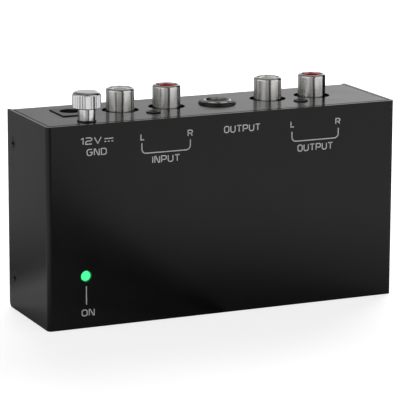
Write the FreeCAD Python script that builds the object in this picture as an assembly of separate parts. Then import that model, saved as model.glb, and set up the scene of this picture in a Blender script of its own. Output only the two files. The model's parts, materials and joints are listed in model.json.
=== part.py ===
"""Phono preamp: a small folded-steel case with phono, headphone-size and power sockets on one narrow side.

Frame: millimetres, +Z up. The case stands on its narrow bottom side: the origin is the centre of that side,
the sockets look up (+Z), the label face looks forward (-Y) and the long side runs along X.
"""
import FreeCAD, Part
import math
import os

V = FreeCAD.Vector

# Cutters reach this far past the faces that they open, and joined bodies overlap by half of it
past = 1.0
join_overlap = 0.5
near = 0.01

# Case
case_width = 110.0
case_depth = 32.0
case_height = 59.0
sheet = 1.0
bend_inner = 0.25
panel_side_gap = 0.35
panel_front_gap = 0.7
tab_gap = 0.03
flap_corner = 1.6
tab_length = 8.0
tab_height = 9.0
tab_bend = 0.9
collar_radius = 2.2
collar_height = 0.9

# Case screws, countersunk, two on each side
screw_from_back = 4.6
screw_from_bottom = 9.5
screw_from_top = 9.4
screw_radius = 1.25
screw_length = 4.0
screw_head_radius = 2.15
screw_head_depth = 0.8
screw_clearance = 0.2
thread_gap = 0.02
recess_reach_share = 0.55
recess_slot_share = 0.22
recess_depth_share = 0.75
screw_tip_share = 0.3
screw_tip_room = 0.1
head_round_share = 0.45

# Rubber feet on the back pan
foot_radius = 4.0
foot_thickness = 2.0
foot_inset_x = 11.0
foot_inset_z = 10.0
foot_edge = 0.5

# Circuit board
board_thickness = 1.6
board_from_back = 7.0
board_side_room = 4.5
board_bottom = 4.0
board_top_room = 0.5
board_corner = 1.0
standoff_radius = 2.75
board_screw_radius = 1.5
board_screw_length = 5.0
board_screw_head_radius = 2.75
board_screw_head_height = 1.8
board_screw_inset_x = 4.5
board_screw_heights = (8.5, 38.0)
board_screw_recess = 1.0
lead_gap = 0.15
lead_radius = 0.3
lead_reach = 1.2

# Phono sockets: the two pairs stand side by side on the jack panel
jack_pitch = 14.6
input_pair_x = -18.2
output_pair_x = 29.1
jack_above_board = 7.25
block_side = 6.1
block_length = 11.0
block_front = 6.4
nose_radius = 5.2
nose_gap = 0.2
nose_recess = 0.7
barrel_radius = 4.15
barrel_seat_radius = 3.8
barrel_inner_radius = 3.1
barrel_height = 6.5
barrel_lip = 0.7
barrel_inner_lip = 0.25
seat_gap = 0.02
insulator_recess = 0.4
contact_radius = 2.1
contact_bore = 1.62
contact_recess = 0.5
contact_depth = 14.0
contact_slit = 0.3
contact_mouth = 0.2
contact_floor = 1.0
contact_slit_from_floor = 2.0
tail_width = 1.2
tail_thickness = 0.6
tail_offset = 3.4
tail_spacing = 0.2

# Fixing screws of the phono sockets
fixing_from_jack = 7.45
fixing_radius = 1.0
fixing_head_radius = 2.1
fixing_head_height = 0.35
fixing_length = 7.0
fixing_lug_half = 3.6
fixing_lug_length = 8.0
fixing_lug_edge = 2.6
fixing_lug_round = 2.4
fixing_recess = 0.3

# 6.35 mm output jack; the leaves touch the plug this far above the body's inner end
trs_x = 4.9
trs_above_board = 8.25
trs_half_width = 7.2
trs_front = 6.8
trs_length = 31.0
trs_corner = 1.0
trs_nose_radius = 5.55
trs_nose_gap = 0.1
trs_nose_height = 0.75
trs_nose_round = 0.65
trs_ring_radius = 4.2
trs_bore = 3.2
trs_ring_height = 1.1
trs_ring_length = 11.0
trs_ring_lip = 0.45
trs_mouth = 0.5
trs_cavity_radius = 3.5
trs_cavity_end = 1.5
trs_slot_end = 3.0
trs_root_below_ring = 1.5
trs_spring_thickness = 0.3
trs_spring_width = 2.2
trs_spring_room = 0.25
trs_spring_travel = 1.5
trs_spring_slope = 6.0
trs_spring_lip = 1.2
trs_spring_lip_drop = 1.6
trs_tip_touch = 5.0
trs_ring_touch = 9.0

# Power jack
power_x = -40.15
power_above_board = 5.0
power_width = 9.0
power_front = 6.2
power_length = 14.0
power_corner = 0.6
power_face_proud = 0.3
power_hole = 3.15
power_hole_depth = 9.5
power_pin = 1.05
power_pin_root = 0.8
power_pin_recess = 1.2
power_pin_round = 0.45
power_cutout_gap = 0.2
power_spring_width = 2.0
power_spring_thickness = 0.3
power_spring_reach = 0.75
power_spring_height = 7.0
power_spring_from_board = 0.6
power_spring_rise = 3.2
power_spring_tip_rise = 1.1
power_spring_tip_back = 0.7
power_slot_side_gap = 0.2
power_slot_end_gap = 0.5
power_slot_below_face = 2.0

# Ground post
ground_x = -40.8
ground_from_front = 5.5
stud_radius = 2.0
stud_above = 6.8
stud_below = 9.0
stud_running_gap = 0.05
stud_chamfer = 0.3
nut_radius = 4.1
nut_collar_radius = 2.55
nut_collar_height = 3.35
nut_head_height = 4.7
nut_bevel = 0.35
nut_round = 1.2
nut_crown_thickness = 1.2
knurl_count = 36
knurl_depth = 0.14
washer_radius = 2.75
washer_thickness = 0.4
inner_nut_flats = 7.0
inner_nut_height = 3.2
inner_nut_bevel = 0.32
lock_washer_radius = 3.4
lock_washer_thickness = 0.6
lug_thickness = 0.5
lug_radius = 3.6
lug_reach = 8.0
lug_width = 2.4
lug_round = 0.95
wire_radius = 0.65
wire_from_lug_end = 1.3
wire_drop = 9.0
wire_slant = 6.0
wire_end_run = 3.5

# Light
led_x = -43.4
led_z = 15.2
led_radius = 1.5
led_hole_gap = 0.12
led_proud = 0.55
led_length = 5.3
led_flange_radius = 1.9
led_flange_length = 1.0
led_spacer_radius = 2.05
led_spacer_bore = 1.7
led_pitch = 2.54
led_lead = 0.25

# Parts on the board: sizes, and where each stands along the board
dip_width = 6.4
dip_length = 9.8
dip_height = 3.3
dip_standoff = 0.5
dip_pitch = 2.54
dip_row = 7.62
dip_notch_radius = 0.7
dip_notch_depth = 0.5
dip_pin_half_width = 0.5
dip_pin_half_thickness = 0.15
dip_columns = (-17.0, 26.0)
large_cap_radius = 4.0
large_cap_height = 11.0
large_cap_column = -36.9
large_cap_spacing = 11.0
small_cap_radius = 2.5
small_cap_height = 7.0
small_cap_columns = (-19.0, -13.0, 0.0, 6.0, 24.0, 29.5)
cap_edge = 0.4
cap_groove = 0.2
cap_groove_share = 0.16
film_width = 2.5
film_length = 7.2
film_height = 6.5
film_pitch = 5.0
film_edge = 0.35
film_columns = (-25.5, -8.5, 18.0, 34.5)
regulator_radius = 2.35
regulator_flat = 1.3
regulator_height = 4.6
regulator_pitch = 1.27
regulator_standoff = 2.0
regulator_column = -30.0
regulator_spacing = 12.0
resistor_radius = 1.15
resistor_length = 6.3
resistor_pitch = 10.16
resistor_columns = (-30.0, -18.0, -6.0, 6.0, 18.0, 30.0)
resistor_first_row = 3.0
resistor_row_spacing = 4.5
axial_gap = 0.2
axial_waist_share = 0.88
axial_cap_share = 0.22
axial_round_share = 0.3
diode_radius = 1.35
diode_length = 5.2
diode_x = -45.6
diode_z = 27.0
upper_row_below_jacks = 14.0

# Worked-out places
half_width = case_width / 2
front_face = -case_depth / 2
back_face = case_depth / 2
front_inner = front_face + sheet
back_inner = back_face - sheet
panel_top = case_height
panel_under = case_height - sheet
bend_outer = bend_inner + sheet
screw_heights = (screw_from_bottom, case_height - screw_from_top)
board_y = back_face - board_from_back
board_under = board_y + board_thickness
board_half = half_width - board_side_room
board_top = panel_under - board_top_room
jack_y = board_y - jack_above_board
fixing_y = jack_y - fixing_from_jack
trs_y = board_y - trs_above_board
power_y = board_y - power_above_board
ground_y = front_face + ground_from_front
screw_y = back_face - screw_from_back
pair_centres = {"input": input_pair_x, "output": output_pair_x}
side_offsets = {"left": -jack_pitch / 2, "right": jack_pitch / 2}
block_end = panel_under - block_length
tail_end = board_under + lead_reach
barrel_tail_z = block_end - seat_gap
contact_tail_z = barrel_tail_z - tail_thickness - tail_spacing
trs_end = panel_under - trs_length
trs_ring_end = panel_top - trs_ring_length
trs_root = trs_ring_end - trs_root_below_ring
trs_touch = {-1: trs_tip_touch, 1: trs_ring_touch}
trs_tail_x = trs_half_width + tail_width / 2
power_face = panel_top + power_face_proud
power_end = power_face - power_length
power_floor = power_face - power_hole_depth
power_pin_tail_z = power_end - seat_gap
power_spring_root = power_end + power_spring_height
lug_top = panel_under
lock_washer_top = lug_top - lug_thickness
inner_nut_top = lock_washer_top - lock_washer_thickness
stud_loose_hole = stud_radius + stud_running_gap
stud_tight_hole = stud_radius + thread_gap
led_base = front_face - led_proud + led_length
resistor_low = board_bottom + resistor_first_row
resistor_rows = (resistor_low, resistor_low + resistor_row_spacing)
upper_row = block_end - upper_row_below_jacks
lower_row = (resistor_rows[-1] + resistor_radius + trs_end) / 2
film_rows = (lower_row, upper_row)
dip_places = [(x, upper_row) for x in dip_columns]
large_cap_places = [(large_cap_column, upper_row - step * large_cap_spacing) for step in (0, 1)]
small_cap_places = [(x, lower_row) for x in small_cap_columns]
regulator_places = [(regulator_column, upper_row - step * regulator_spacing) for step in (0, 1)]


def box(x0, x1, y0, y1, z0, z1):
    return Part.makeBox(x1 - x0, y1 - y0, z1 - z0, V(x0, y0, z0))


def rod(radius, start, end):
    along = end - start
    return Part.makeCylinder(radius, along.Length, start, along)


def cone(radius_start, radius_end, start, end):
    along = end - start
    return Part.makeCone(radius_start, radius_end, along.Length, start, along)


def upright(radius, x, y, z0, z1):
    return rod(radius, V(x, y, z0), V(x, y, z1))


def prism(points, height):
    wire = Part.makePolygon(points + points[:1])
    return Part.Face(wire).extrude(height)


def fuse(shapes):
    whole = shapes[0]
    for shape in shapes[1:]:
        whole = whole.fuse(shape)
    return whole.removeSplitter()


def edges_where(shape, test):
    return [edge for edge in shape.Edges if test(edge.BoundBox)]


def save(name, shapes):
    solids = [solid for shape in shapes for solid in shape.Solids]
    whole = solids[0] if len(solids) == 1 else Part.makeCompound(solids)
    whole.exportStep(os.path.join("parts", name + ".step"))


def cross_recess(radius, depth, tip):
    """Cross recess cut into a head whose axis is +X at the origin; it is turned and moved by place()."""
    bars = []
    for turn in (0, 90):
        half_slot = radius * recess_slot_share
        bar = box(-depth, tip, -radius, radius, -half_slot, half_slot)
        bar.rotate(V(0, 0, 0), V(1, 0, 0), turn)
        bars.append(bar)
    return bars[0].fuse(bars[1])


def place(shape, direction, point):
    """Turn a shape drawn along +X to the direction and move it to the point."""
    moved = shape.copy()
    turn = FreeCAD.Rotation(V(1, 0, 0), direction)
    moved.Placement = FreeCAD.Placement(point, turn)
    return moved


def pan_screw(head_radius, head_height, shank_radius, length, recess_depth):
    """Screw along +X: the head stands above x = 0 and the shank goes into negative x."""
    head = rod(head_radius, V(0, 0, 0), V(head_height, 0, 0))
    rim = edges_where(head, lambda b: b.XMin > head_height - near and b.XLength < near)
    head = head.makeFillet(head_height * head_round_share, rim)
    shank = rod(shank_radius, V(-length, 0, 0), V(head_height / 2, 0, 0))
    tip = edges_where(shank, lambda b: b.XMax < near - length)
    shank = shank.makeChamfer(shank_radius * screw_tip_share, tip)
    reach = head_radius * recess_reach_share
    recess = cross_recess(reach, recess_depth - head_height, head_height + past)
    return fuse([head, shank]).cut(recess)


def countersunk_screw():
    """Countersunk screw along +X with its flat face at x = 0."""
    head = cone(screw_radius, screw_head_radius, V(-screw_head_depth, 0, 0), V(0, 0, 0))
    shank = rod(screw_radius, V(-screw_length, 0, 0), V(-screw_head_depth, 0, 0))
    tip = edges_where(shank, lambda b: b.XMax < near - screw_length)
    shank = shank.makeChamfer(screw_radius * screw_tip_share, tip)
    reach = screw_head_radius * recess_reach_share
    recess = cross_recess(reach, screw_head_depth * recess_depth_share, past)
    return fuse([head, shank]).cut(recess)


def case_screw_places():
    """Each case screw as its point on the flap's outer face and its outward direction."""
    return [(V(side * half_width, screw_y, z), V(side, 0, 0)) for side in (-1, 1) for z in screw_heights]


def board_screw_places():
    x = board_half - board_screw_inset_x
    return [(side * x, z) for side in (-1, 1) for z in board_screw_heights]


def jack_places():
    """Each phono socket's name and the x of its axis."""
    return [
        (pair + "_" + side, pair_centres[pair] + side_offsets[side])
        for pair in pair_centres
        for side in side_offsets
    ]


def make_cover():
    outer = box(-half_width, half_width, front_face, back_face, 0, case_height)
    bends = edges_where(outer, lambda b: b.ZLength > 1 and b.YMax < front_face + near)
    outer = outer.makeFillet(bend_outer, bends)
    room = half_width - sheet
    inner = box(-room, room, front_inner, back_face + sheet, -past, case_height + past)
    corners = edges_where(inner, lambda b: b.ZLength > 1 and b.YMax < front_inner + near)
    inner = inner.makeFillet(bend_inner, corners)
    cover = outer.cut(inner)
    low_ends = edges_where(cover, lambda b: b.YMin > back_face - near and b.ZMax < near and b.XLength > near)
    cover = cover.makeFillet(flap_corner, low_ends)
    for point, outward in case_screw_places():
        hole_end = point - outward * (sheet + past)
        cover = cover.cut(rod(screw_radius + screw_clearance, point + outward, hole_end))
        seat = cone(screw_head_radius, screw_radius, point, point - outward * screw_head_depth)
        cover = cover.cut(seat)
    light_hole = led_radius + led_hole_gap
    hole_start = V(led_x, front_face - past, led_z)
    return cover.cut(rod(light_hole, hole_start, V(led_x, front_inner + past, led_z)))


def make_tab(side, z):
    outer = side * (half_width - sheet - tab_gap)
    inner = outer - side * sheet
    low, high = min(outer, inner), max(outer, inner)
    tab = box(low, high, back_face - tab_length, back_face, z - tab_height / 2, z + tab_height / 2)
    corners = edges_where(tab, lambda b: b.ZLength > 1 and b.YMin > back_face - near)
    bend = [edge for edge in corners if abs(edge.BoundBox.XMin - outer) < near]
    tab = tab.makeFillet(tab_bend, bend)
    ends = edges_where(tab, lambda b: b.XLength > sheet / 2 and b.YMax < back_face - tab_length + near)
    tab = tab.makeFillet(sheet, ends)
    collar = rod(collar_radius, V(inner, screw_y, z), V(inner - side * collar_height, screw_y, z))
    thread_start = V(outer + side * past, screw_y, z)
    thread_end = V(inner - side * (collar_height + past), screw_y, z)
    thread = rod(screw_radius + thread_gap, thread_start, thread_end)
    return fuse([tab, collar]).cut(thread)


def make_chassis():
    reach = half_width - sheet - panel_side_gap
    front = front_inner + panel_front_gap
    outer = box(-reach, reach, front, back_face, 0, case_height)
    bends = edges_where(outer, lambda b: b.XLength > 1 and b.YMin > back_face - near)
    outer = outer.makeFillet(bend_outer, bends)
    inner = box(-reach - past, reach + past, front - past, back_inner, sheet, panel_under)
    corners = edges_where(inner, lambda b: b.XLength > 1 and b.YMin > back_inner - near)
    inner = inner.makeFillet(bend_inner, corners)
    chassis = outer.cut(inner)
    chassis = fuse([chassis] + [make_tab(side, z) for side in (-1, 1) for z in screw_heights])
    holes = [(nose_radius + nose_gap, x, jack_y) for _, x in jack_places()]
    holes += [(fixing_radius + thread_gap, x, fixing_y) for x in pair_centres.values()]
    holes.append((trs_nose_radius + trs_nose_gap, trs_x, trs_y))
    holes.append((stud_tight_hole, ground_x, ground_y))
    for radius, x, y in holes:
        chassis = chassis.cut(upright(radius, x, y, panel_under - past, panel_top + past))
    half = power_width / 2 + power_cutout_gap
    window_front = power_y - power_front - power_cutout_gap
    window_back = board_y + power_cutout_gap
    return chassis.cut(
        box(power_x - half, power_x + half, window_front, window_back, panel_under - past, panel_top + past)
    )


def make_case_screws():
    return [place(countersunk_screw(), outward, point) for point, outward in case_screw_places()]


def make_feet():
    feet = []
    for x in (foot_inset_x - half_width, half_width - foot_inset_x):
        for z in (foot_inset_z, case_height - foot_inset_z):
            foot = rod(foot_radius, V(x, back_face, z), V(x, back_face + foot_thickness, z))
            rim = edges_where(foot, lambda b: b.YMin > back_face + foot_thickness - near)
            feet.append(foot.makeFillet(foot_edge, rim))
    return feet


def make_standoffs():
    posts = []
    for x, z in board_screw_places():
        corners = []
        for step in range(6):
            angle = math.radians(60 * step)
            corner_x = x + standoff_radius * math.cos(angle)
            corner_z = z + standoff_radius * math.sin(angle)
            corners.append(V(corner_x, board_under, corner_z))
        post = prism(corners, V(0, back_inner - board_under, 0))
        hole_end = board_y + board_screw_length
        thread = rod(board_screw_radius + thread_gap, V(x, board_under - past, z), V(x, hole_end, z))
        posts.append(post.cut(thread))
    return posts


def make_board_screws():
    length = board_screw_length - screw_tip_room
    screw = pan_screw(
        board_screw_head_radius,
        board_screw_head_height,
        board_screw_radius,
        length,
        board_screw_recess,
    )
    return [place(screw, V(0, -1, 0), V(x, board_y, z)) for x, z in board_screw_places()]


def lead_holes():
    """Every round lead hole of the board as (x, z, lead radius)."""
    holes = []
    for x, z in large_cap_places + small_cap_places:
        holes += [(x, z - dip_pitch / 2, lead_radius), (x, z + dip_pitch / 2, lead_radius)]
    for x, z in film_places():
        holes += [(x, z - film_pitch / 2, lead_radius), (x, z + film_pitch / 2, lead_radius)]
    for x, z in resistor_places():
        holes += [(x - resistor_pitch / 2, z, lead_radius), (x + resistor_pitch / 2, z, lead_radius)]
    for x, z in dip_pins():
        holes.append((x, z, lead_radius))
    for x, z in regulator_places:
        holes += [(x, z + step * regulator_pitch, lead_radius) for step in (-1, 0, 1)]
    holes += [(diode_x, diode_z + side * resistor_pitch / 2, lead_radius) for side in (-1, 1)]
    holes += [(led_x + side * led_pitch / 2, led_z, led_lead) for side in (-1, 1)]
    holes.append((wire_route()[-1].x, wire_route()[-1].z, wire_radius))
    return holes


def film_places():
    return [(x, z) for x in film_columns for z in film_rows]


def resistor_places():
    return [(x, z) for x in resistor_columns for z in resistor_rows]


def dip_pins():
    pins = []
    for x, z in dip_places:
        for side in (-1, 1):
            for step in (-1.5, -0.5, 0.5, 1.5):
                pins.append((x + side * dip_row / 2, z + step * dip_pitch))
    return pins


def tail(x, z0, y0, width=tail_width):
    """Flat solder tail that runs from y0 through the board."""
    return box(x - width / 2, x + width / 2, y0, tail_end, z0 - tail_thickness, z0)


def tail_slots():
    slots = []
    for _, x in jack_places():
        slots += [(x, contact_tail_z), (x - tail_offset, barrel_tail_z)]
    slots += [(power_x, power_pin_tail_z), (power_x, power_spring_root)]
    slots += [(trs_x + side * trs_tail_x, trs_root) for side in (-1, 1)]
    slots.append((trs_x, trs_ring_end + tail_thickness))
    return slots


def make_board():
    board = box(-board_half, board_half, board_y, board_under, board_bottom, board_top)
    corners = edges_where(board, lambda b: b.YLength > board_thickness / 2)
    board = board.makeFillet(board_corner, corners)
    holes = [(x, z, board_screw_radius) for x, z in board_screw_places()]
    holes += lead_holes()
    cutters = []
    for x, z, radius in holes:
        cutters.append(rod(radius + lead_gap, V(x, board_y - past, z), V(x, board_under + past, z)))
    for x, z in tail_slots():
        half = tail_width / 2 + lead_gap
        low = z - tail_thickness - lead_gap
        cutters.append(box(x - half, x + half, board_y - past, board_under + past, low, z + lead_gap))
    return board.cut(cutters)


def make_jack_block(centre_x):
    half = jack_pitch / 2 + block_side
    block = box(centre_x - half, centre_x + half, jack_y - block_front, board_y, block_end, panel_under)
    lug_front = fixing_y - fixing_lug_edge
    lug = box(
        centre_x - fixing_lug_half,
        centre_x + fixing_lug_half,
        lug_front,
        jack_y,
        panel_under - fixing_lug_length,
        panel_under,
    )
    corners = edges_where(lug, lambda b: b.ZLength > 1 and b.YMax < lug_front + near)
    lug = lug.makeFillet(fixing_lug_round, corners)
    axes = [centre_x + offset for offset in side_offsets.values()]
    noses = [upright(nose_radius, x, jack_y, panel_under - past, panel_top - nose_recess) for x in axes]
    block = fuse([block, lug] + noses)
    for x in axes:
        block = block.cut(upright(barrel_seat_radius + seat_gap, x, jack_y, block_end - past, panel_top))
    hole_end = panel_top - fixing_length - screw_tip_room
    return block.cut(upright(fixing_radius + thread_gap, centre_x, fixing_y, hole_end, panel_top))


def make_barrel(x):
    top = panel_top + barrel_height
    step = panel_top - nose_recess + seat_gap
    seat = upright(barrel_seat_radius, x, jack_y, barrel_tail_z - tail_thickness / 2, step + join_overlap)
    sleeve = upright(barrel_radius, x, jack_y, step, top)
    rim = edges_where(sleeve, lambda b: b.ZMin > top - near)
    sleeve = sleeve.makeFillet(barrel_lip, rim)
    ground_tail = tail(x - tail_offset, barrel_tail_z, jack_y)
    bore = upright(barrel_inner_radius, x, jack_y, block_end - 2 * past, top + past)
    barrel = fuse([seat, sleeve]).cut(bore)
    rims = edges_where(barrel, lambda b: b.ZMin > top - near)
    inner_rim = [edge for edge in rims if edge.BoundBox.XLength < 2 * barrel_inner_radius + near]
    barrel = barrel.makeFillet(barrel_inner_lip, inner_rim)
    return fuse([barrel, ground_tail.cut(bore)])


def make_insulator(x):
    top = panel_top + barrel_height - insulator_recess
    body = upright(barrel_inner_radius - seat_gap, x, jack_y, contact_tail_z + seat_gap, top)
    body = body.cut(upright(contact_radius + seat_gap, x, jack_y, contact_tail_z, top - contact_recess))
    mouth_low = contact_bore + contact_mouth
    mouth_top = mouth_low + contact_mouth
    mouth = cone(mouth_low, mouth_top, V(x, jack_y, top - contact_recess), V(x, jack_y, top))
    return body.cut(mouth)


def make_contact(x):
    top = panel_top + barrel_height - insulator_recess - contact_recess - seat_gap
    floor = top - contact_depth
    sleeve = upright(contact_radius, x, jack_y, floor - contact_floor, top)
    bore = upright(contact_bore, x, jack_y, floor, top + past)
    half = contact_slit / 2
    reach = contact_radius + past
    slit_low = floor + contact_slit_from_floor
    slit = box(x - half, x + half, jack_y - reach, jack_y + reach, slit_low, top + past)
    stem = upright(tail_width, x, jack_y, contact_tail_z - tail_thickness / 2, floor)
    return fuse([sleeve.cut(bore).cut(slit), stem, tail(x, contact_tail_z, jack_y)])


def make_fixing_screws():
    screw = pan_screw(fixing_head_radius, fixing_head_height, fixing_radius, fixing_length, fixing_recess)
    return [place(screw, V(0, 0, 1), V(x, fixing_y, panel_top)) for x in pair_centres.values()]


def make_trs_body():
    left, right = trs_x - trs_half_width, trs_x + trs_half_width
    body = box(left, right, trs_y - trs_front, board_y, trs_end, panel_under)
    corners = edges_where(body, lambda b: b.ZLength > 1 and b.YMax < trs_y - trs_front + near)
    body = body.makeFillet(trs_corner, corners)
    nose_top = panel_top + trs_nose_height
    nose = upright(trs_nose_radius, trs_x, trs_y, panel_under - past, nose_top)
    rim = edges_where(nose, lambda b: b.ZMin > nose_top - near)
    nose = nose.makeFillet(trs_nose_round, rim)
    body = fuse([body, nose])
    body = body.cut(upright(trs_ring_radius + seat_gap, trs_x, trs_y, trs_ring_end, panel_top + past))
    body = body.cut(upright(trs_cavity_radius, trs_x, trs_y, trs_end + trs_cavity_end, panel_top))
    half = trs_spring_width / 2 + trs_spring_room
    slot_top = trs_root + trs_spring_room
    slot_low = trs_end + trs_slot_end
    body = body.cut(box(left - past, right + past, trs_y - half, trs_y + half, slot_low, slot_top))
    half = tail_width / 2 + seat_gap
    tail_top = trs_ring_end + tail_thickness + seat_gap
    tail_low = trs_ring_end - seat_gap
    return body.cut(box(trs_x - half, trs_x + half, trs_y, board_y + past, tail_low, tail_top))


def make_trs_ring():
    """Metal sleeve ring of the jack, with its solder tail at the inner end."""
    top = panel_top + trs_ring_height
    ring = upright(trs_ring_radius, trs_x, trs_y, trs_ring_end, top)
    rim = edges_where(ring, lambda b: b.ZMin > top - near)
    ring = ring.makeFillet(trs_ring_lip, rim)
    ring = fuse([ring, tail(trs_x, trs_ring_end + tail_thickness, trs_y)])
    ring = ring.cut(upright(trs_bore, trs_x, trs_y, trs_ring_end - past, top + past))
    mouth = cone(trs_bore, trs_bore + trs_mouth, V(trs_x, trs_y, top - trs_mouth), V(trs_x, trs_y, top))
    return ring.cut(mouth)


def make_trs_spring(side):
    """Leaf on one side of the jack's bore, bent in to touch the plug."""
    outside = trs_half_width - trs_spring_thickness
    inside = trs_bore - trs_spring_travel
    touch = trs_end + trs_touch[side]
    knee = touch + trs_spring_slope
    thick = trs_spring_thickness
    lip = (inside + trs_spring_lip, touch - trs_spring_lip_drop)
    profile = [(outside, trs_root), (outside, knee), (inside, touch), lip]
    outline = [V(x, 0, z) for x, z in profile] + [V(x + thick, 0, z) for x, z in reversed(profile)]
    leaf = prism(outline, V(0, trs_spring_width, 0))
    leaf.translate(V(0, -trs_spring_width / 2, 0))
    if side < 0:
        leaf = leaf.mirror(V(0, 0, 0), V(1, 0, 0))
    leaf.translate(V(trs_x, trs_y, 0))
    return leaf


def make_trs_terminal(side):
    """Fixed terminal that holds the leaf's root and runs down the side of the body to the board."""
    return tail(trs_x + side * trs_tail_x, trs_root, trs_y - trs_spring_width / 2)


def make_power_body():
    half = power_width / 2
    body = box(power_x - half, power_x + half, power_y - power_front, board_y, power_end, power_face)
    crown = edges_where(body, lambda b: b.ZLength > 1 and b.YMax < power_y - power_front + near)
    body = body.makeFillet(power_corner, crown)
    body = body.cut(upright(power_hole, power_x, power_y, power_floor, power_face + past))
    root_hole = power_pin_root + seat_gap
    body = body.cut(upright(root_hole, power_x, power_y, power_end - past, power_floor + past))
    half = power_spring_width / 2 + power_slot_side_gap
    low = power_spring_root - tail_thickness - power_slot_end_gap
    high = power_face - power_slot_below_face
    return body.cut(box(power_x - half, power_x + half, power_y, board_y + past, low, high))


def make_power_pin():
    tip = power_face - power_pin_recess
    pin = upright(power_pin, power_x, power_y, power_floor, tip)
    end = edges_where(pin, lambda b: b.ZMin > tip - near)
    pin = pin.makeFillet(power_pin_round, end)
    root = upright(power_pin_root, power_x, power_y, power_pin_tail_z - tail_thickness / 2, power_floor)
    return fuse([pin, root, tail(power_x, power_pin_tail_z, power_y)])


def make_power_spring():
    """Leaf beside the power pin that the plug's sleeve pushes back."""
    touch = power_hole - power_spring_reach
    far = board_y - power_y - power_spring_from_board
    thick = power_spring_thickness
    root = power_spring_root
    bent = root + power_spring_rise
    profile = [(far, root), (touch, bent), (touch + power_spring_tip_back, bent + power_spring_tip_rise)]
    outline = [V(0, y, z) for y, z in profile] + [V(0, y + thick, z) for y, z in reversed(profile)]
    leaf = prism(outline, V(power_spring_width, 0, 0))
    leaf.translate(V(power_x - power_spring_width / 2, power_y, 0))
    return leaf


def make_power_terminal():
    """Fixed terminal under the leaf's root, through the board."""
    return tail(power_x, power_spring_root, board_y - power_spring_from_board)


def make_ground_stud():
    low = panel_under - stud_below
    high = panel_top + stud_above
    stud = upright(stud_radius, ground_x, ground_y, low, high)
    ends = edges_where(stud, lambda b: b.ZLength < near)
    return stud.makeChamfer(stud_chamfer, ends)


def make_washer():
    top = panel_top + washer_thickness
    washer = upright(washer_radius, ground_x, ground_y, panel_top, top)
    return washer.cut(upright(stud_loose_hole, ground_x, ground_y, panel_top - past, top + past))


def on_post(z):
    return V(ground_x, ground_y, z)


def knurl_ring(radius, z0, z1):
    """Fine straight knurl: a ring of V-shaped flutes around a cylinder."""
    points = []
    for step in range(knurl_count * 2):
        angle = math.pi * step / knurl_count
        reach = radius if step % 2 == 0 else radius - knurl_depth
        points.append(V(ground_x + reach * math.cos(angle), ground_y + reach * math.sin(angle), z0))
    return prism(points, V(0, 0, z1 - z0))


def make_ground_nut():
    """Knurled thumb nut with a collar below and a closed, rounded crown."""
    base = panel_top + washer_thickness
    head_low = base + nut_collar_height
    head_high = head_low + nut_head_height
    bevel_end = head_low + nut_bevel
    round_radius = nut_radius + near
    collar = upright(nut_collar_radius, ground_x, ground_y, base, head_low + join_overlap)
    grip = knurl_ring(nut_radius, head_low, head_high)
    lower = cone(nut_radius - nut_bevel, round_radius, on_post(head_low), on_post(bevel_end))
    crown = upright(round_radius, ground_x, ground_y, bevel_end, head_high)
    rim = edges_where(crown, lambda b: b.ZMin > head_high - near)
    crown = crown.makeFillet(nut_round, rim)
    nut = fuse([collar, grip.common(fuse([lower, crown]))])
    bore_end = head_high - nut_crown_thickness
    return nut.cut(upright(stud_loose_hole, ground_x, ground_y, base - past, bore_end))


def make_ground_lug():
    low = lug_top - lug_thickness
    half = lug_width / 2
    ring = upright(lug_radius, ground_x, ground_y, low, lug_top)
    strap = box(ground_x, ground_x + lug_reach, ground_y - half, ground_y + half, low, lug_top)
    lug = fuse([ring, strap])
    end_edges = edges_where(lug, lambda b: b.ZLength > near and b.XMin > ground_x + lug_reach - near)
    lug = lug.makeFillet(lug_round, end_edges)
    return lug.cut(upright(stud_tight_hole, ground_x, ground_y, low - past, lug_top + past))


def make_lock_washer():
    top = lock_washer_top
    washer = upright(lock_washer_radius, ground_x, ground_y, inner_nut_top, top)
    return washer.cut(upright(stud_tight_hole, ground_x, ground_y, inner_nut_top - past, top + past))


def make_inner_nut():
    top = inner_nut_top
    across = inner_nut_flats / math.sqrt(3)
    corners = []
    for step in range(6):
        angle = math.radians(60 * step + 30)
        corners.append(V(ground_x + across * math.cos(angle), ground_y + across * math.sin(angle), top))
    nut = prism(corners, V(0, 0, -inner_nut_height))
    low = top - inner_nut_height
    middle = (top + low) / 2
    crown = cone(across + inner_nut_bevel, across - inner_nut_bevel, on_post(middle), on_post(low))
    upper_half = upright(across + past, ground_x, ground_y, middle, top)
    nut = fuse([nut.common(upper_half), nut.common(crown)])
    return nut.cut(upright(stud_tight_hole, ground_x, ground_y, low - past, top + past))


def wire_route():
    """Corner points of the ground wire from the solder lug to the board."""
    start = V(ground_x + lug_reach - wire_from_lug_end, ground_y, lug_top - lug_thickness)
    bend = start.z - wire_drop
    end = bend - wire_slant
    return [
        start,
        V(start.x, start.y, bend),
        V(start.x, board_y - wire_end_run, end),
        V(start.x, board_under + lead_reach, end),
    ]


def rounded_path(points, share=0.45):
    """Straight runs joined by tangent arcs as large as their two runs allow."""
    edges = []
    last = points[0]
    for before, corner, after in zip(points, points[1:], points[2:]):
        back = (before - corner).normalize()
        ahead = (after - corner).normalize()
        shorter = min((before - corner).Length, (after - corner).Length)
        cut = share * shorter
        start = corner + back * cut
        end = corner + ahead * cut
        half_turn = (math.pi - back.getAngle(ahead)) / 2
        radius = cut / math.tan(half_turn)
        middle_way = (back + ahead).normalize()
        centre_distance = math.hypot(cut, radius)
        middle = corner + middle_way * (centre_distance - radius)
        edges.append(Part.LineSegment(last, start).toShape())
        edges.append(Part.Arc(start, middle, end).toShape())
        last = end
    edges.append(Part.LineSegment(last, points[-1]).toShape())
    return Part.Wire(edges)


def make_ground_wire():
    route = wire_route()
    path = rounded_path(route)
    heading = route[1] - route[0]
    circle = Part.Wire(Part.Circle(route[0], heading, wire_radius).toShape())
    return path.makePipeShell([circle], True, False)


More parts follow.
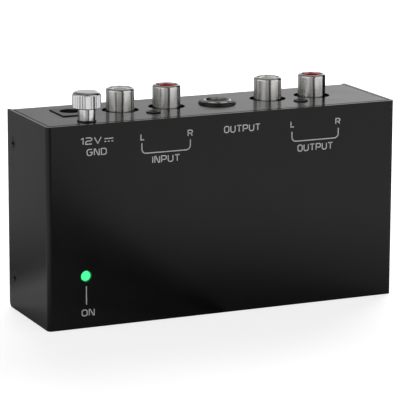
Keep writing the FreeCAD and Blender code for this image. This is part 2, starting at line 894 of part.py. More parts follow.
def make_led():
    tip = front_face - led_proud
    base = V(led_x, led_base, led_z)
    dome_centre = V(led_x, tip + led_radius, led_z)
    body = rod(led_radius, dome_centre, base)
    dome = Part.makeSphere(led_radius, dome_centre)
    flange = rod(led_flange_radius, base - V(0, led_flange_length, 0), base)
    return fuse([body, dome, flange])


def make_led_spacer():
    spacer = rod(led_spacer_radius, V(led_x, led_base, led_z), V(led_x, board_y, led_z))
    bore = rod(led_spacer_bore, V(led_x, led_base - past, led_z), V(led_x, board_y + past, led_z))
    return spacer.cut(bore)


def make_led_leads():
    leads = []
    for side in (-1, 1):
        x = led_x + side * led_pitch / 2
        leads.append(rod(led_lead, V(x, led_base, led_z), V(x, board_under + lead_reach, led_z)))
    return leads


def straight_lead(x, z, start=board_y):
    return rod(lead_radius, V(x, start, z), V(x, board_under + lead_reach, z))


def make_can(x, z, radius, height):
    """Electrolytic capacitor with its rolled groove near the board and a rounded top rim."""
    can = rod(radius, V(x, board_y, z), V(x, board_y - height, z))
    rim = edges_where(can, lambda b: b.YMax < board_y - height + near)
    can = can.makeFillet(cap_edge, rim)
    groove_centre = V(x, board_y - height * cap_groove_share, z)
    return can.cut(Part.makeTorus(radius + cap_groove, cap_groove * 2, groove_centre, V(0, 1, 0)))


def make_cans(places, radius, height):
    return [make_can(x, z, radius, height) for x, z in places]


def make_can_leads():
    leads = []
    for x, z in large_cap_places + small_cap_places:
        leads += [straight_lead(x, z - dip_pitch / 2), straight_lead(x, z + dip_pitch / 2)]
    return leads


def make_films():
    films = []
    for x, z in film_places():
        film = box(
            x - film_width / 2,
            x + film_width / 2,
            board_y - film_height,
            board_y,
            z - film_length / 2,
            z + film_length / 2,
        )
        edges = edges_where(film, lambda b: b.YMax < board_y - near)
        films.append(film.makeFillet(film_edge, edges))
    return films


def make_film_leads():
    return [straight_lead(x, z + side * film_pitch / 2) for x, z in film_places() for side in (-1, 1)]


def make_dips():
    chips = []
    for x, z in dip_places:
        under = board_y - dip_standoff
        top = under - dip_height
        half = dip_width / 2
        chip = box(x - half, x + half, top, under, z - dip_length / 2, z + dip_length / 2)
        notch_z = z + dip_length / 2
        notch_start = V(x, top - past, notch_z)
        notch_end = V(x, top + dip_notch_depth, notch_z)
        chips.append(chip.cut(rod(dip_notch_radius, notch_start, notch_end)))
    return chips


def make_dip_leads():
    """Each pin: a shoulder out of the body's side, then down through the board."""
    pins = []
    middle = board_y - dip_standoff - dip_height / 2
    for x, z in dip_pins():
        centre_x = min((place_x for place_x, _ in dip_places), key=lambda value: abs(value - x))
        side = 1 if x > centre_x else -1
        body_side = centre_x + side * dip_width / 2
        low, high = min(body_side, x), max(body_side, x)
        thick = dip_pin_half_thickness
        wide = dip_pin_half_width
        shoulder = box(low, high, middle - thick, middle + thick, z - wide, z + wide)
        leg = rod(lead_radius, V(x, middle - thick, z), V(x, board_under + lead_reach, z))
        pins.append(fuse([shoulder, leg]))
    return pins


def make_regulators():
    shapes = []
    for x, z in regulator_places:
        under = board_y - regulator_standoff
        top = under - regulator_height
        width = 2 * regulator_radius
        body = rod(regulator_radius, V(x, top, z), V(x, under, z))
        flat = box(x + regulator_flat, x + width, top - past, under + past, z - width, z + width)
        shapes.append(body.cut(flat))
    return shapes


def make_regulator_leads():
    return [
        straight_lead(x, z + step * regulator_pitch, board_y - regulator_standoff)
        for x, z in regulator_places
        for step in (-1, 0, 1)
    ]


def make_axial(x, z, radius, length, along):
    """Axial part lying on the board, with slightly thicker end caps."""
    y = board_y - radius - axial_gap
    start = V(x, y, z) - along * (length / 2)
    end = V(x, y, z) + along * (length / 2)
    cap = along * (length * axial_cap_share)
    waist = rod(radius * axial_waist_share, start, end)
    whole = fuse([waist, rod(radius, start, start + cap), rod(radius, end - cap, end)])
    rims = [edge for edge in whole.Edges if (edge.BoundBox.Center - start).Length < near]
    rims += [edge for edge in whole.Edges if (edge.BoundBox.Center - end).Length < near]
    return whole.makeFillet(radius * axial_round_share, rims)


def make_axial_leads(x, z, radius, length, along):
    y = board_y - radius - axial_gap
    leads = []
    for side in (-1, 1):
        start = V(x, y, z) + along * (side * length / 2)
        corner = V(x, y, z) + along * (side * resistor_pitch / 2)
        foot = V(corner.x, board_under + lead_reach, corner.z)
        knee = Part.makeSphere(lead_radius, corner)
        leads.append(fuse([rod(lead_radius, start, corner), knee, rod(lead_radius, corner, foot)]))
    return leads


def make_resistors():
    return [make_axial(x, z, resistor_radius, resistor_length, V(1, 0, 0)) for x, z in resistor_places()]


def make_resistor_leads():
    leads = []
    for x, z in resistor_places():
        leads += make_axial_leads(x, z, resistor_radius, resistor_length, V(1, 0, 0))
    return leads


os.makedirs("parts", exist_ok=True)

save("cover", [make_cover()])
save("chassis", [make_chassis()])
save("cover_screws", make_case_screws())
save("rubber_feet", make_feet())
save("circuit_board", [make_board()])
save("board_standoffs", make_standoffs())
save("board_screws", make_board_screws())

for pair, pair_x in pair_centres.items():
    save(pair + "_jack_block", [make_jack_block(pair_x)])
for name, jack_x in jack_places():
    save(name + "_barrel", [make_barrel(jack_x)])
    save(name + "_insulator", [make_insulator(jack_x)])
    save(name + "_contact", [make_contact(jack_x)])
save("jack_fixing_screws", make_fixing_screws())

save("plug_jack_body", [make_trs_body()])
save("plug_jack_ring", [make_trs_ring()])
save("plug_jack_tip_spring", [make_trs_spring(-1)])
save("plug_jack_ring_spring", [make_trs_spring(1)])
save("plug_jack_terminals", [make_trs_terminal(-1), make_trs_terminal(1)])

save("power_jack_body", [make_power_body()])
save("power_jack_pin", [make_power_pin()])
save("power_jack_spring", [make_power_spring()])
save("power_jack_terminal", [make_power_terminal()])

save("ground_stud", [make_ground_stud()])
save("ground_washer", [make_washer()])
save("ground_nut", [make_ground_nut()])
save("ground_lug", [make_ground_lug()])
save("ground_lock_washer", [make_lock_washer()])
save("ground_inner_nut", [make_inner_nut()])
save("ground_wire", [make_ground_wire()])

save("light_lens", [make_led()])
save("light_spacer", [make_led_spacer()])
save("light_leads", make_led_leads())

save("amplifier_chips", make_dips())
save("amplifier_chip_leads", make_dip_leads())
save("large_capacitors", make_cans(large_cap_places, large_cap_radius, large_cap_height))
save("small_capacitors", make_cans(small_cap_places, small_cap_radius, small_cap_height))
save("capacitor_leads", make_can_leads())
save("film_capacitors", make_films())
save("film_capacitor_leads", make_film_leads())
save("regulators", make_regulators())
save("regulator_leads", make_regulator_leads())
save("resistors", make_resistors())
save("resistor_leads", make_resistor_leads())
save("power_diode", [make_axial(diode_x, diode_z, diode_radius, diode_length, V(0, 0, 1))])
save("power_diode_leads", make_axial_leads(diode_x, diode_z, diode_radius, diode_length, V(0, 0, 1)))
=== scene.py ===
"""Looks of the phono preamp: finishes, printed legends, a pale floor, light and the photograph's camera."""
import json
import math

import bpy
from mathutils import Matrix, Vector


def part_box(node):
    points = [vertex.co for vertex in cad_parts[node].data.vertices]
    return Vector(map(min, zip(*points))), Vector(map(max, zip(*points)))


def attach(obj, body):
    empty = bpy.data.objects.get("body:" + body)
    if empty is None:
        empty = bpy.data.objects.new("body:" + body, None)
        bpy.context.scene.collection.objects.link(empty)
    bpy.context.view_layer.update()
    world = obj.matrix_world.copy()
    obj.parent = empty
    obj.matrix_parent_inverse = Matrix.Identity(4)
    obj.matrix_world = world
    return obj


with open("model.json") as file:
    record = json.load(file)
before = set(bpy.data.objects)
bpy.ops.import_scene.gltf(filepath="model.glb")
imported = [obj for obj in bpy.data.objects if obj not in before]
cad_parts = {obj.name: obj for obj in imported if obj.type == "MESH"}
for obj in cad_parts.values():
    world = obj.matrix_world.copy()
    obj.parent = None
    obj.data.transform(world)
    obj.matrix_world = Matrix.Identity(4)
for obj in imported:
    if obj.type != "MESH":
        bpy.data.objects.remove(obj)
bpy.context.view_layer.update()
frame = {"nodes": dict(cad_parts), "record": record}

MM = 0.001
IMAGE_WIDTH = 400
SENSOR = 36.0
NEAREST_SEEN = 10 * MM

# Camera, solved from the case's corners: it looks at the middle of the case from the left and above
FOCAL_PIXELS = 2540.0
VIEW_AZIMUTH = math.radians(-24.25)
VIEW_ELEVATION = math.radians(12.48)
VIEW_ROLL = math.radians(0.20)
VIEW_DISTANCE = 750.4 * MM
VIEW_RIGHT = -0.77 * MM
VIEW_UP = 0.83 * MM

cover_low, cover_high = (Vector(corner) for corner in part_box("cover"))
case_middle = (cover_low + cover_high) / 2
label_face = cover_low.y
lamp_low, lamp_high = (Vector(corner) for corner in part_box("light_lens"))
lamp_x = (lamp_low.x + lamp_high.x) / 2
lamp_z = (lamp_low.z + lamp_high.z) / 2


def toward(azimuth, elevation):
    """Unit vector in a compass direction: azimuth 0 is in front of the label face, 90 degrees to its right."""
    across = math.cos(elevation)
    return Vector((
        math.sin(azimuth) * across,
        -math.cos(azimuth) * across,
        math.sin(elevation),
    ))


def add_camera():
    back = toward(VIEW_AZIMUTH, VIEW_ELEVATION)
    right = (-back).cross(Vector((0, 0, 1))).normalized()
    up = back.cross(right)
    place = case_middle + back * VIEW_DISTANCE + right * VIEW_RIGHT + up * VIEW_UP
    rolled_right = right * math.cos(VIEW_ROLL) + up * math.sin(VIEW_ROLL)
    rolled_up = up * math.cos(VIEW_ROLL) - right * math.sin(VIEW_ROLL)
    data = bpy.data.cameras.new("camera")
    data.sensor_width = SENSOR
    data.lens = FOCAL_PIXELS * SENSOR / IMAGE_WIDTH
    data.clip_start = NEAREST_SEEN
    camera = bpy.data.objects.new("camera", data)
    turn = Matrix((rolled_right, rolled_up, back)).transposed().to_4x4()
    camera.matrix_world = Matrix.Translation(place) @ turn
    bpy.context.collection.objects.link(camera)
    bpy.context.scene.camera = camera


# The middle part of the noise, which the finishes spread their colours and roughness over
MOTTLE_SPAN = (0.35, 0.65)
WEAR_SPAN = (0.3, 0.7)

# Nearly along Z, and never quite along the normal of a level face
UPWARD = (0.02, 0.01, 1.0)

# Bands: waves per metre times a full turn, the part of the wave that is band, and the spread of the roughness
BAND_WAVE = 4000.0
BAND_EDGES = (0.80, 0.86)
BAND_WEAR = (0.8, 1.3)
BAND_WEAR_SCALE = 500

LENS_GLOW = (0.06, 1.0, 0.30, 1)


class Finish:
    """A procedural material: one principled shader whose colour, roughness and relief vary."""

    def __init__(self, name, colour, roughness, metallic=0.0, **sockets):
        self.material = bpy.data.materials.new(name)
        self.material.use_nodes = True
        self.tree = self.material.node_tree
        self.shader = self.tree.nodes["Principled BSDF"]
        self.shader.inputs["Base Color"].default_value = (*colour, 1)
        self.shader.inputs["Roughness"].default_value = roughness
        self.shader.inputs["Metallic"].default_value = metallic
        for socket, value in sockets.items():
            self.shader.inputs[socket.replace("_", " ")].default_value = value
        self.place = self.tree.nodes.new("ShaderNodeTexCoord").outputs["Object"]
        self.last_normal = None

    def noise(self, per_metre, detail=3.0, stretch=(1, 1, 1)):
        mapping = self.tree.nodes.new("ShaderNodeMapping")
        mapping.inputs["Scale"].default_value = stretch
        self.tree.links.new(self.place, mapping.inputs["Vector"])
        noise = self.tree.nodes.new("ShaderNodeTexNoise")
        noise.inputs["Scale"].default_value = per_metre
        noise.inputs["Detail"].default_value = detail
        self.tree.links.new(mapping.outputs["Vector"], noise.inputs["Vector"])
        return noise.outputs["Fac"]

    def mottle(self, one, other, per_metre, detail=3.0):
        """Base colour that wanders between two colours."""
        ramp = self.tree.nodes.new("ShaderNodeValToRGB")
        ramp.color_ramp.elements[0].position = MOTTLE_SPAN[0]
        ramp.color_ramp.elements[0].color = (*one, 1)
        ramp.color_ramp.elements[1].position = MOTTLE_SPAN[1]
        ramp.color_ramp.elements[1].color = (*other, 1)
        self.tree.links.new(self.noise(per_metre, detail), ramp.inputs["Fac"])
        self.tree.links.new(ramp.outputs["Color"], self.shader.inputs["Base Color"])
        return self

    def wear(self, smooth, rough, per_metre, detail=4.0, stretch=(1, 1, 1)):
        """Roughness that wanders between two values."""
        spread = self.tree.nodes.new("ShaderNodeMapRange")
        spread.inputs["From Min"].default_value, spread.inputs["From Max"].default_value = WEAR_SPAN
        spread.inputs["To Min"].default_value = smooth
        spread.inputs["To Max"].default_value = rough
        self.tree.links.new(self.noise(per_metre, detail, stretch), spread.inputs["Value"])
        self.tree.links.new(spread.outputs["Result"], self.shader.inputs["Roughness"])
        return self

    def relief(self, per_metre, height, strength=1.0, detail=2.0, stretch=(1, 1, 1)):
        """Small bumps of that height in metres, added to the ones already there."""
        bump = self.tree.nodes.new("ShaderNodeBump")
        bump.inputs["Distance"].default_value = height
        bump.inputs["Strength"].default_value = strength
        self.tree.links.new(self.noise(per_metre, detail, stretch), bump.inputs["Height"])
        if self.last_normal:
            self.tree.links.new(self.last_normal, bump.inputs["Normal"])
        self.last_normal = bump.outputs["Normal"]
        self.tree.links.new(self.last_normal, self.shader.inputs["Normal"])
        return self

    def draw_upward(self):
        """Stretch the reflections along Z, as on metal turned about an upright axis."""
        upward = self.tree.nodes.new("ShaderNodeCombineXYZ")
        for socket, value in zip(upward.inputs, UPWARD):
            socket.default_value = value
        self.tree.links.new(upward.outputs["Vector"], self.shader.inputs["Tangent"])
        return self


def make_finishes():
    finishes = {
        "case_paint": Finish("case_paint", (0.005, 0.005, 0.0052), 0.20, Specular_IOR_Level=0.30, IOR=1.5)
        .mottle((0.0045, 0.0045, 0.0047), (0.0058, 0.0058, 0.006), 60)
        .wear(0.17, 0.22, 90)
        .relief(1400, 0.000004, 0.5),
        "black_screw": Finish("black_screw", (0.012, 0.012, 0.012), 0.35, 0.4).wear(0.25, 0.5, 900),
        "rubber": Finish("rubber", (0.02, 0.02, 0.02), 0.75).mottle((0.014,) * 3, (0.028,) * 3, 400)
        .relief(2500, 0.00002, 0.5),
        "board": Finish("board", (0.01, 0.09, 0.03), 0.35)
        .mottle((0.008, 0.07, 0.025), (0.014, 0.12, 0.045), 120)
        .relief(700, 0.00001, 0.4),
        "steel": Finish("steel", (0.55, 0.55, 0.54), 0.35, 1.0).wear(0.25, 0.45, 500, stretch=(1, 6, 1)),
        "nickel": Finish("nickel", (0.80, 0.79, 0.77), 0.22, 1.0, Anisotropic=0.8).wear(0.19, 0.25, 300)
        .relief(500, 0.000002, 0.3)
        .draw_upward(),
        "chrome": Finish("chrome", (0.86, 0.86, 0.87), 0.20, 1.0, Anisotropic=0.8).wear(0.17, 0.23, 300)
        .relief(600, 0.000002, 0.3)
        .draw_upward(),
        "tin": Finish("tin", (0.72, 0.72, 0.74), 0.3, 1.0).wear(0.2, 0.4, 900),
        "spring_bronze": Finish("spring_bronze", (0.62, 0.42, 0.22), 0.3, 1.0).wear(0.22, 0.4, 700),
        "black_plastic": Finish("black_plastic", (0.012,) * 3, 0.32).mottle((0.01,) * 3, (0.016,) * 3, 300)
        .relief(2200, 0.000008, 0.4),
        "white_plastic": Finish("white_plastic", (0.82, 0.82, 0.80), 0.3)
        .mottle((0.8, 0.8, 0.77), (0.84, 0.84, 0.82), 500)
        .relief(1500, 0.000004, 0.3),
        "red_plastic": Finish("red_plastic", (0.42, 0.008, 0.02), 0.4, Specular_IOR_Level=0.15)
        .mottle((0.36, 0.006, 0.016), (0.46, 0.010, 0.024), 500)
        .relief(1500, 0.000004, 0.3),
        "green_lens": Finish("green_lens", (0.05, 0.75, 0.2), 0.12)
        .mottle((0.04, 0.7, 0.18), (0.07, 0.8, 0.24), 600),
        "wire_cover": Finish("wire_cover", (0.01, 0.12, 0.03), 0.4)
        .mottle((0.01, 0.1, 0.025), (0.012, 0.14, 0.035), 500),
        "chip": Finish("chip", (0.02,) * 3, 0.55)
        .mottle((0.016,) * 3, (0.026,) * 3, 900)
        .relief(4000, 0.00001, 0.5),
        "film": Finish("film", (0.35, 0.03, 0.015), 0.25).mottle((0.3, 0.025, 0.012), (0.4, 0.04, 0.02), 300),
    }
    finishes["can_sleeve"] = banded_finish("can_sleeve", "y", (0.012, 0.016, 0.04), (0.75, 0.75, 0.76), 0.25)
    finishes["resistor"] = banded_finish("resistor", "x", (0.10, 0.25, 0.42), (0.35, 0.06, 0.02), 0.3)
    lens = finishes["green_lens"].shader
    lens.inputs["Emission Color"].default_value = LENS_GLOW
    lens.inputs["Emission Strength"].default_value = 1.0
    return {name: finish.material for name, finish in finishes.items()}


def banded_finish(name, axis, ground, band, roughness):
    """Lacquer with bands across one axis: colour rings on a resistor, or the print stripe of a capacitor."""
    smooth, rough = (roughness * share for share in BAND_WEAR)
    finish = Finish(name, ground, roughness).wear(smooth, rough, BAND_WEAR_SCALE)
    split = finish.tree.nodes.new("ShaderNodeSeparateXYZ")
    finish.tree.links.new(finish.place, split.inputs["Vector"])
    wave = finish.tree.nodes.new("ShaderNodeMath")
    wave.operation = "MULTIPLY"
    wave.inputs[1].default_value = BAND_WAVE
    finish.tree.links.new(split.outputs[axis.upper()], wave.inputs[0])
    sine = finish.tree.nodes.new("ShaderNodeMath")
    sine.operation = "SINE"
    finish.tree.links.new(wave.outputs[0], sine.inputs[0])
    ramp = finish.tree.nodes.new("ShaderNodeValToRGB")
    ramp.color_ramp.elements[0].position = BAND_EDGES[0]
    ramp.color_ramp.elements[0].color = (*ground, 1)
    ramp.color_ramp.elements[1].position = BAND_EDGES[1]
    ramp.color_ramp.elements[1].color = (*band, 1)
    finish.tree.links.new(sine.outputs[0], ramp.inputs["Fac"])
    finish.tree.links.new(ramp.outputs["Color"], finish.shader.inputs["Base Color"])
    return finish


def dress_nodes(finishes):
    slots = {part["node"]: part["material_slot"] for part in frame["record"]["subparts"]}
    for name, node in frame["nodes"].items():
        material = finishes[slots[name]]
        node.data.materials.clear()
        node.data.materials.append(material)


# Letters as strokes in a cell one wide and one high, with their width in cells
GLYPHS = {
    "O": (1.0, [
        [(0.25, 0), (0.75, 0), (1, 0.2), (1, 0.8), (0.75, 1), (0.25, 1), (0, 0.8), (0, 0.2), (0.25, 0)],
    ]),
    "U": (1.0, [[(0, 1), (0, 0.2), (0.25, 0), (0.75, 0), (1, 0.2), (1, 1)]]),
    "T": (1.0, [[(0, 1), (1, 1)], [(0.5, 1), (0.5, 0)]]),
    "P": (1.0, [[(0, 0), (0, 1), (0.75, 1), (1, 0.87), (1, 0.53), (0.75, 0.4), (0, 0.4)]]),
    "I": (0.05, [[(0.5, 0), (0.5, 1)]]),
    "N": (1.0, [[(0, 0), (0, 1), (0.2, 1), (0.8, 0), (1, 0), (1, 1)]]),
    "G": (1.0, [
        [(1, 1), (0.25, 1), (0, 0.8), (0, 0.2), (0.25, 0), (0.75, 0), (1, 0.2), (1, 0.5), (0.55, 0.5)],
    ]),
    "D": (1.0, [[(0, 0), (0, 1), (0.75, 1), (1, 0.8), (1, 0.2), (0.75, 0), (0, 0)]]),
    "L": (0.85, [[(0, 1), (0, 0), (1, 0)]]),
    "R": (1.0, [
        [(0, 0), (0, 1), (0.75, 1), (1, 0.87), (1, 0.58), (0.75, 0.45), (0, 0.45)],
        [(0.6, 0.45), (1, 0)],
    ]),
    "1": (0.35, [[(0, 0.8), (1, 1), (1, 0)]]),
    "2": (1.0, [
        [(0, 1), (0.75, 1), (1, 0.85), (1, 0.65), (0.75, 0.5), (0.25, 0.5), (0, 0.35), (0, 0), (1, 0)],
    ]),
    "V": (1.1, [[(0, 1), (0.5, 0), (1, 1)]]),
}
LETTER_GAP = 0.42

# Printed legends on the label face: text, x of its middle, z of its middle, width, height, in millimetres
LEGENDS = (
    ("12V", -41.7, 54.3, 6.4, 2.1),
    ("GND", -40.0, 51.0, 6.1, 2.0),
    ("L", -26.0, 54.15, 1.3, 1.9),
    ("R", -11.2, 54.25, 1.6, 1.9),
    ("INPUT", -18.7, 47.35, 8.7, 2.1),
    ("OUTPUT", 5.25, 54.35, 11.6, 2.1),
    ("L", 21.4, 54.3, 1.3, 1.9),
    ("R", 36.2, 54.15, 1.6, 1.9),
    ("OUTPUT", 28.9, 47.05, 11.6, 2.1),
    ("ON", -42.9, 4.5, 4.0, 2.0),
)
PRINT_THICKNESS = 0.02 * MM
PRINT_SINK = 0.005 * MM
STROKE = 0.30 * MM
MITRE_LIMIT = 0.7

# Brackets: left, right, top and bottom. Direct-current sign: x and z of its middle, and its width. Line under
# the light: its top and bottom. All are in millimetres
BRACKETS = ((-26.2, -11.15, 52.4, 49.4), (21.25, 36.4, 52.1, 49.2))
BRACKET_CORNER = 1.3 * MM
CORNER_STEPS = 8
DC_SIGN = (-36.3, 54.2, 2.7)
DC_SPREAD = 0.4 * MM
DC_DASHES = 3
LAMP_LINE = (12.3, 6.9)


def add_mesh(name, points, faces):
    mesh = bpy.data.meshes.new(name)
    mesh.from_pydata(points, [], faces)
    mesh.update()
    piece = bpy.data.objects.new(name, mesh)
    bpy.context.collection.objects.link(piece)
    return piece


def add_strokes(name, paths, material):
    """One printed piece of lines of constant width along paths of (x, z) points in metres."""
    points = []
    faces = []
    for path in paths:
        first = len(points)
        closed = (path[0] - path[-1]).length < PRINT_SINK
        for index, point in enumerate(path):
            before = path[index - 1] if index else path[-2 if closed else 0]
            after = path[index + 1] if index < len(path) - 1 else path[1 if closed else -1]
            legs = (point - before, after - point)
            headings = [leg.normalized() for leg in legs if leg.length > PRINT_SINK]
            heading = sum(headings, Vector((0, 0))).normalized()
            widen = 1 / max(heading.dot(headings[0]), MITRE_LIMIT)
            aside = Vector((-heading.y, heading.x)) * STROKE / 2 * widen
            for depth in (PRINT_SINK, -PRINT_THICKNESS):
                for edge in (point + aside, point - aside):
                    points.append(Vector((edge.x, label_face + depth, edge.y)))
        for index in range(len(path) - 1):
            a = first + 4 * index
            b = a + 4
            faces += [(a, a + 1, b + 1, b), (a + 2, b + 2, b + 3, a + 3)]
            faces += [(a, b, b + 2, a + 2), (a + 1, a + 3, b + 3, b + 1)]
        last = first + 4 * (len(path) - 1)
        faces += [(first, first + 2, first + 3, first + 1), (last, last + 1, last + 3, last + 2)]
    piece = add_mesh(name, points, faces)
    piece.data.materials.append(material)
    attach(piece, "case")


def legend_paths(text, x, z, width, height):
    """The strokes of one word, fitted to its measured width and height."""
    cells = sum(GLYPHS[letter][0] for letter in text) + LETTER_GAP * (len(text) - 1)
    inner_width = width - STROKE / MM
    inner_height = height - STROKE / MM
    cell = inner_width / cells
    left = x - inner_width / 2
    paths = []
    for letter in text:
        share, strokes = GLYPHS[letter]
        for stroke in strokes:
            corners = [(left + u * share * cell, z + (v - 0.5) * inner_height) for u, v in stroke]
            paths.append([Vector(corner) * MM for corner in corners])
        left += (share + LETTER_GAP) * cell
    return paths


def bracket_path(left, right, top, bottom):
    """A bracket open at the top, with rounded lower corners."""
    left, right, top, bottom = left * MM, right * MM, top * MM, bottom * MM
    path = [Vector((left, top))]
    for centre_x, start in ((left + BRACKET_CORNER, math.pi), (right - BRACKET_CORNER, 1.5 * math.pi)):
        for step in range(CORNER_STEPS + 1):
            angle = start + step / CORNER_STEPS * math.pi / 2
            path.append(Vector((
                centre_x + BRACKET_CORNER * math.cos(angle),
                bottom + BRACKET_CORNER + BRACKET_CORNER * math.sin(angle),
            )))
    path.append(Vector((right, top)))
    return path


def level_line(left, right, height):
    return [Vector((left, height)), Vector((right, height))]


def add_print():
    ink = Finish("print_ink", (0.74, 0.74, 0.74), 0.5).mottle((0.68,) * 3, (0.78,) * 3, 2500).material
    for index, (text, x, z, width, height) in enumerate(LEGENDS):
        paths = legend_paths(text, x, z, width, height)
        add_strokes(f"print_{index}_{text.lower()}", paths, ink)
    for index, bracket in enumerate(BRACKETS):
        add_strokes(f"print_bracket_{index}", [bracket_path(*bracket)], ink)
    x, z, width = (value * MM for value in DC_SIGN)
    left = x - width / 2
    dash = width / (2 * DC_DASHES - 1)
    lines = [level_line(left, left + width, z + DC_SPREAD)]
    for step in range(DC_DASHES):
        start = left + 2 * step * dash
        lines.append(level_line(start, start + dash, z - DC_SPREAD))
    add_strokes("print_dc_sign", lines, ink)
    line = [Vector((lamp_x, height * MM)) for height in LAMP_LINE]
    add_strokes("print_lamp_line", [line], ink)


# The studio, as brightness by compass direction in degrees: 0 is in front of the label face, 90 to its right.
# Its dark bands are what the plated parts show as upright streaks. The floor also takes these bands into its
# colour to every ray but the camera's, as painted shade
STUDIO = (
    (-180, 0.20), (-150, 0.30), (-126, 0.22), (-116, 0.90), (-60, 1.0), (-46, 0.95), (-40, 0.50), (-15, 0.50),
    (-12, 0.02), (2, 0.02), (6, 1.0), (72, 0.95), (77, 0.0), (126, 0.0), (132, 0.95), (150, 1.0), (161, 0.52),
    (180, 0.25),
)
HALF_TURN = 180
ANY_STOP = 0.5

# Floor: FLOOR_SHADE is its colour to the camera and FLOOR_REFLECTED its colour to every other ray. FLOOR_LIFT
# is light that only the camera sees, and FLOOR_PAINTED_GLOW a share of painted light that the floor gives off
# to every other ray, though it is no lamp. To those other rays its colour is painted shade: darker in the
# studio's dark bands, and darker close to the case, by FLOOR_NEAR_PAINTED_SHADE, between the two distances of
# FLOOR_PAINTED_SHADE_SPAN
FLOOR_HALF = 6.0
FLOOR_SHADE = 0.50
FLOOR_REFLECTED = 0.80
FLOOR_PAINTED_GLOW = 0.42
FLOOR_LIFT = 0.77
FLOOR_PAINTED_SHADE_SPAN = (0.03, 0.16)
FLOOR_NEAR_PAINTED_SHADE = 0.2
FLOOR_ROUGHNESS = 0.6
FLOOR_WEAR = (0.55, 0.65, 3)
FLOOR_GLOSS = 0.2

# Lamp, behind the case and to its right; metal and gloss don't show it
LAMP_AZIMUTH = math.radians(150)
LAMP_ELEVATION = math.radians(40)
LAMP_DISTANCE = 0.7
LAMP_SIZE = (0.6, 0.4)
LAMP_POWER = 5.5

# Ceiling: the world darkens to CEILING_SHADE between these two heights of a direction
CEILING_HEIGHTS = (0.30, 0.75)
CEILING_SHADE = 0.25

# Sockets of the mix node for two colours and the result
MIX_OFF = 6
MIX_ON = 7
MIX_RESULT = 2


def studio_brightness(tree, direction):
    """Brightness of the studio in the direction that a vector output points."""
    split = tree.nodes.new("ShaderNodeSeparateXYZ")
    tree.links.new(direction, split.inputs["Vector"])
    forward = tree.nodes.new("ShaderNodeMath")
    forward.operation = "MULTIPLY"
    forward.inputs[1].default_value = -1.0
    tree.links.new(split.outputs["Y"], forward.inputs[0])
    azimuth = tree.nodes.new("ShaderNodeMath")
    azimuth.operation = "ARCTAN2"
    tree.links.new(split.outputs["X"], azimuth.inputs[0])
    tree.links.new(forward.outputs[0], azimuth.inputs[1])
    share = tree.nodes.new("ShaderNodeMapRange")
    share.inputs["From Min"].default_value = -math.pi
    share.inputs["From Max"].default_value = math.pi
    tree.links.new(azimuth.outputs[0], share.inputs["Value"])
    ramp = tree.nodes.new("ShaderNodeValToRGB")
    stops = ramp.color_ramp.elements
    while len(stops) < len(STUDIO):
        stops.new(ANY_STOP)
    for stop, (degrees, brightness) in zip(stops, STUDIO):
        stop.position = (degrees + HALF_TURN) / (2 * HALF_TURN)
        stop.color = (brightness, brightness, brightness, 1)
    tree.links.new(share.outputs["Result"], ramp.inputs["Fac"])
    return ramp.outputs["Color"]


def choose(tree, switch, when_off, when_on):
    """A colour that is one thing where the switch is 0 and another where it is 1."""
    mix = tree.nodes.new("ShaderNodeMix")
    mix.data_type = "RGBA"
    tree.links.new(switch, mix.inputs["Factor"])
    tree.links.new(when_off, mix.inputs[MIX_OFF])
    mix.inputs[MIX_ON].default_value = when_on
    return mix.outputs[MIX_RESULT]


def scaled(tree, vector, factor):
    """A vector output multiplied by a number, or by another output."""
    scale = tree.nodes.new("ShaderNodeVectorMath")
    scale.operation = "SCALE"
    tree.links.new(vector, scale.inputs[0])
    if isinstance(factor, float):
        scale.inputs["Scale"].default_value = factor
    else:
        tree.links.new(factor, scale.inputs["Scale"])
    return scale.outputs["Vector"]


def grey(value):
    return (value, value, value, 1)


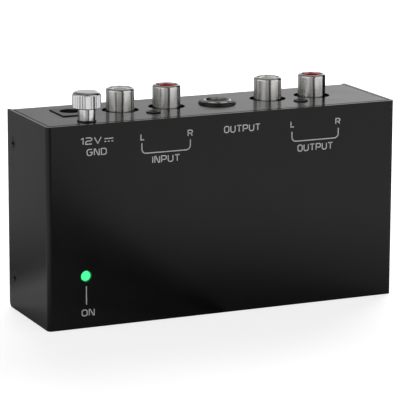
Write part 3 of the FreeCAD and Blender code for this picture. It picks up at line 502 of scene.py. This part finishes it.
def add_floor():
    corners = ((-1, -1), (1, -1), (1, 1), (-1, 1))
    points = [Vector((x * FLOOR_HALF, y * FLOOR_HALF, 0)) for x, y in corners]
    floor = add_mesh("floor", points, [(0, 1, 2, 3)])
    finish = Finish("floor", (FLOOR_SHADE,) * 3, FLOOR_ROUGHNESS).wear(*FLOOR_WEAR)
    tree = finish.tree
    finish.shader.inputs["Emission Strength"].default_value = 1.0
    finish.shader.inputs["Specular IOR Level"].default_value = FLOOR_GLOSS
    seen = tree.nodes.new("ShaderNodeLightPath").outputs["Is Camera Ray"]
    reach = tree.nodes.new("ShaderNodeVectorMath")
    reach.operation = "LENGTH"
    tree.links.new(finish.place, reach.inputs[0])
    near_painted_shade = tree.nodes.new("ShaderNodeMapRange")
    near_painted_shade.inputs["From Min"].default_value, near_painted_shade.inputs["From Max"].default_value = FLOOR_PAINTED_SHADE_SPAN
    near_painted_shade.inputs["To Min"].default_value = FLOOR_NEAR_PAINTED_SHADE * FLOOR_REFLECTED
    near_painted_shade.inputs["To Max"].default_value = FLOOR_REFLECTED
    tree.links.new(reach.outputs["Value"], near_painted_shade.inputs["Value"])
    # Painted shade: to every ray but the camera's, the floor is darker in the studio's dark bands and close to
    # the case
    shade = scaled(tree, studio_brightness(tree, finish.place), near_painted_shade.outputs["Result"])
    colour = choose(tree, seen, shade, grey(FLOOR_SHADE))
    tree.links.new(colour, finish.shader.inputs["Base Color"])
    # Painted light: the floor glows to every ray but the camera's, so it also lights the case from below
    lift_and_painted_glow = choose(tree, seen, scaled(tree, shade, FLOOR_PAINTED_GLOW), grey(FLOOR_LIFT))
    tree.links.new(lift_and_painted_glow, finish.shader.inputs["Emission Color"])
    floor.data.materials.append(finish.material)


def add_world():
    """White to the camera, and the studio to every other ray."""
    world = bpy.data.worlds.new("studio")
    world.use_nodes = True
    bpy.context.scene.world = world
    tree = world.node_tree
    direction = tree.nodes.new("ShaderNodeTexCoord").outputs["Generated"]
    seen = tree.nodes.new("ShaderNodeLightPath").outputs["Is Camera Ray"]
    rise = tree.nodes.new("ShaderNodeSeparateXYZ")
    tree.links.new(direction, rise.inputs["Vector"])
    ceiling = tree.nodes.new("ShaderNodeMapRange")
    ceiling.inputs["From Min"].default_value, ceiling.inputs["From Max"].default_value = CEILING_HEIGHTS
    ceiling.inputs["To Min"].default_value = 1.0
    ceiling.inputs["To Max"].default_value = CEILING_SHADE
    tree.links.new(rise.outputs["Z"], ceiling.inputs["Value"])
    shade = scaled(tree, studio_brightness(tree, direction), ceiling.outputs["Result"])
    background = tree.nodes["Background"]
    tree.links.new(choose(tree, seen, shade, grey(1.0)), background.inputs["Color"])
    background.inputs["Strength"].default_value = 1.0


def add_lamp():
    data = bpy.data.lights.new("lamp", "AREA")
    data.shape = "RECTANGLE"
    data.size, data.size_y = LAMP_SIZE
    data.energy = LAMP_POWER
    lamp = bpy.data.objects.new("lamp", data)
    away = toward(LAMP_AZIMUTH, LAMP_ELEVATION)
    turn = away.to_track_quat("Z", "Y").to_matrix().to_4x4()
    lamp.matrix_world = Matrix.Translation(case_middle + away * LAMP_DISTANCE) @ turn
    lamp.visible_glossy = False
    bpy.context.collection.objects.link(lamp)


scene = bpy.context.scene
scene.view_settings.view_transform = "Standard"
add_camera()
dress_nodes(make_finishes())
add_print()
add_floor()
add_world()
add_lamp()
